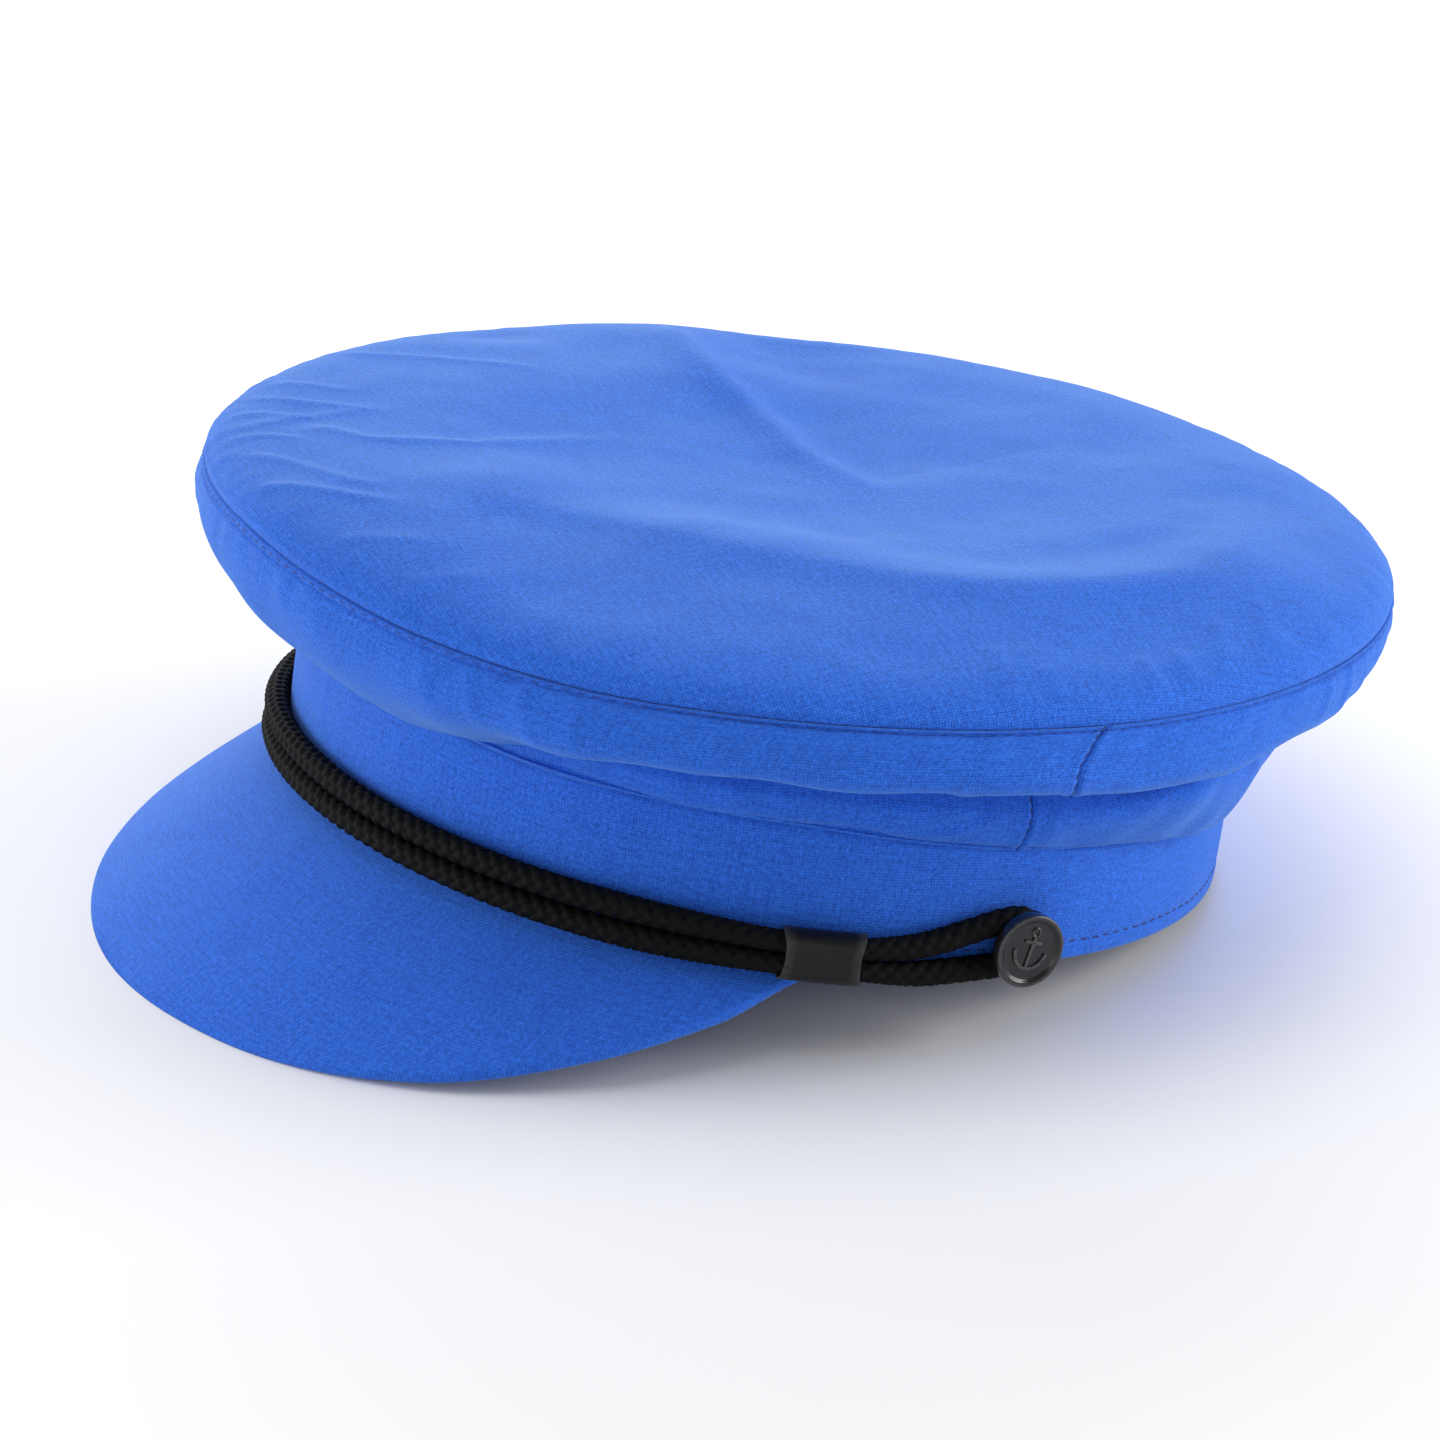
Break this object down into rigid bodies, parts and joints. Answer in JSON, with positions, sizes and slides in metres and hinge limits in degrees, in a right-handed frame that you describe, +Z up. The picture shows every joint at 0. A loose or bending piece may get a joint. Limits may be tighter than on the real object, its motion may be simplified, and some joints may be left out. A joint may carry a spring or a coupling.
{
  "type": "breton fisherman cap",
  "caption": "Blue cotton breton fisherman cap: soft round crown over a stiff band, short sloping peak, and a black braided chin cord held by sleeves and side buttons with an anchor.",
  "frame": {"origin": "middle of the cap's footprint, on the surface it lies on", "axes": "+Z up from the surface, the peak points to -Y, the wearer's left is +X"},
  "size_m": [0.2354, 0.2586, 0.092],
  "materials": {
    "cloth": "plain weave cotton, matte",
    "cord": "round braid, matte",
    "keeper": "satin",
    "button": "semi gloss"
  },
  "bodies": {
    "root": {"crown_top": "cloth", "crown_side_front": "cloth", "crown_side_back": "cloth", "band": "cloth", "peak": "cloth", "cord_loop": "cord", "keeper_left": "keeper", "keeper_right": "keeper", "button_left": "button", "button_right": "button"}
  },
  "joints": []
}
